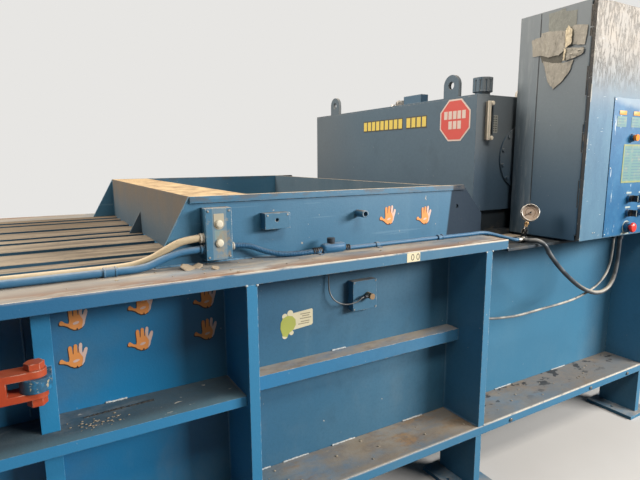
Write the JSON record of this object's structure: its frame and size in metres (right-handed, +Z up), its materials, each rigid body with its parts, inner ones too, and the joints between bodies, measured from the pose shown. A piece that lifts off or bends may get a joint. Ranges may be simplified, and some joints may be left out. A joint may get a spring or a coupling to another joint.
{
  "type": "horizontal baler",
  "caption": "Horizontal closed-door baler with a feed hopper, ram, oil tank, motor and control cabinet on a welded plate frame, worn blue paint.",
  "frame": {"origin": "on the floor, at the centre of the middle legs' outer anchor holes, under the centre of the feed opening", "axes": "+X along the machine from the end door towards the ram end, +Y from the controls' side to the far side, +Z up"},
  "size_m": [3.999, 2.445, 2.3],
  "materials": {
    "paint": "satin",
    "dusty_paint": "matte",
    "dark_paint": "satin",
    "orange_paint": "satin",
    "steel": "brushed",
    "gauge_case": "satin",
    "black_plastic": "matte",
    "pale_panel": "satin",
    "amber_plastic": "gloss",
    "red_plastic": "gloss",
    "black_rubber": "matte",
    "grey_jacket": "satin"
  },
  "bodies": {
    "machine": {"floor_frame": "paint", "side_walls": "paint", "side_rails": "paint", "side_ledges": "paint", "side_posts": "paint", "latch_post": "paint", "side_shelves": "paint", "legs": "paint", "top_plate": "paint", "deck_slats": "dusty_paint", "door_header": "paint", "shear_beam": "paint", "shear_blade": "steel", "hopper_sides": "paint", "hopper_end_walls": "paint", "rear_plate": "paint", "guide_strips": "steel", "cylinder_barrel": "dark_paint", "cylinder_gland": "steel", "cylinder_pin": "steel", "hinge_brackets": "paint", "latch_bolt": "orange_paint", "tank_base": "paint", "tank": "paint", "tank_lid": "paint", "cleanout_cover": "paint", "tank_fittings": "paint", "motor": "dark_paint", "pump": "dark_paint", "cabinet_shell": "paint", "cabinet_hinge_pin": "steel", "cabinet_panel": "pale_panel", "wall_boxes": "paint", "pressure_gauge": "gauge_case", "conduit_runs": "dusty_paint", "conduit_fittings": "paint", "pressure_hose": "black_rubber", "control_cable": "grey_jacket", "sensor_lead": "black_rubber"},
    "ram": {"ram_body": "paint", "ram_knife": "steel", "piston_rod": "steel"},
    "end_door": {"bale_door": "paint", "door_frame": "paint", "latch_keeper": "paint"},
    "turnbuckle": {"latch_fork": "orange_paint"},
    "sleeve": {"latch_sleeve": "orange_paint"},
    "draw_rod": {"latch_rod": "steel"},
    "t_head": {"latch_head": "orange_paint"},
    "cap": {"filler_cap": "paint"},
    "rotor": {"motor_rotor": "steel"},
    "cabinet_leaf": {"cabinet_door": "paint", "control_plate": "paint", "door_gasket": "black_rubber"},
    "handle": {"cabinet_handle": "black_plastic"},
    "amber": {"amber_button": "amber_plastic"},
    "selector_a": {"selector_upper": "black_plastic"},
    "selector_b": {"selector_lower": "black_plastic"},
    "stop": {"stop_button": "red_plastic"},
    "needle": {"gauge_needle": "black_plastic"}
  },
  "joints": [
    {"name": "ram_slide", "type": "slide", "parent": "machine", "child": "ram", "axis": [-1, 0, 0], "range_m": [0, 1.15]},
    {"name": "door_hinge", "type": "hinge", "parent": "machine", "child": "end_door", "pos_m": [-1.83, 1.07, 0.8], "axis": [0, 0, -1], "range_deg": [0, 110]},
    {"name": "latch_swing", "type": "hinge", "parent": "machine", "child": "turnbuckle", "pos_m": [-1.211, -1.08, 0.977], "axis": [0, 0, 1], "range_deg": [0, 100]},
    {"name": "sleeve_turn", "type": "hinge", "parent": "turnbuckle", "child": "sleeve", "pos_m": [-1.5, -1.08, 0.977], "axis": [-1, 0, 0], "range_deg": [0, 1200]},
    {"name": "rod_travel", "type": "slide", "parent": "turnbuckle", "child": "draw_rod", "axis": [-1, 0, 0], "range_m": [0, 0.02]},
    {"name": "head_turn", "type": "hinge", "parent": "draw_rod", "child": "t_head", "pos_m": [-1.845, -1.08, 0.977], "axis": [1, 0, 0], "range_deg": [0, 90]},
    {"name": "cap_turn", "type": "hinge", "parent": "machine", "child": "cap", "pos_m": [0.905, -0.755, 1.95], "axis": [0, 0, 1], "range_deg": [0, 90]},
    {"name": "motor_spin", "type": "hinge", "parent": "machine", "child": "rotor", "pos_m": [1.74, -0.4, 1.377], "axis": [0, 1, 0], "continuous": true},
    {"name": "cabinet_door_hinge", "type": "hinge", "parent": "machine", "child": "cabinet_leaf", "pos_m": [1.072, -1.218, 1.75], "axis": [0, 0, -1], "range_deg": [0, 110]},
    {"name": "cabinet_handle_turn", "type": "hinge", "parent": "cabinet_leaf", "child": "handle", "pos_m": [1.717, -1.243, 1.75], "axis": [0, 1, 0], "range_deg": [0, 90]},
    {"name": "amber_press", "type": "slide", "parent": "cabinet_leaf", "child": "amber", "axis": [0, 1, 0], "range_m": [0, 0.005], "stiffness_N_per_m": 400},
    {"name": "selector_upper_turn", "type": "hinge", "parent": "cabinet_leaf", "child": "selector_a", "pos_m": [1.462, -1.243, 1.39], "axis": [0, 1, 0], "range_deg": [0, 90]},
    {"name": "selector_lower_turn", "type": "hinge", "parent": "cabinet_leaf", "child": "selector_b", "pos_m": [1.462, -1.243, 1.316], "axis": [0, 1, 0], "range_deg": [0, 90]},
    {"name": "stop_press", "type": "slide", "parent": "cabinet_leaf", "child": "stop", "axis": [0, 1, 0], "range_m": [0, 0.006], "stiffness_N_per_m": 600},
    {"name": "needle_turn", "type": "hinge", "parent": "machine", "child": "needle", "pos_m": [0.9354, -1.06, 1.32857], "axis": [0.6686, 0.7071, -0.2302], "range_deg": [0, 270]}
  ],
  "couplings": [
    {"joint": "rod_travel", "follows": "sleeve_turn", "m_per_rad": 0.00095}
  ]
}
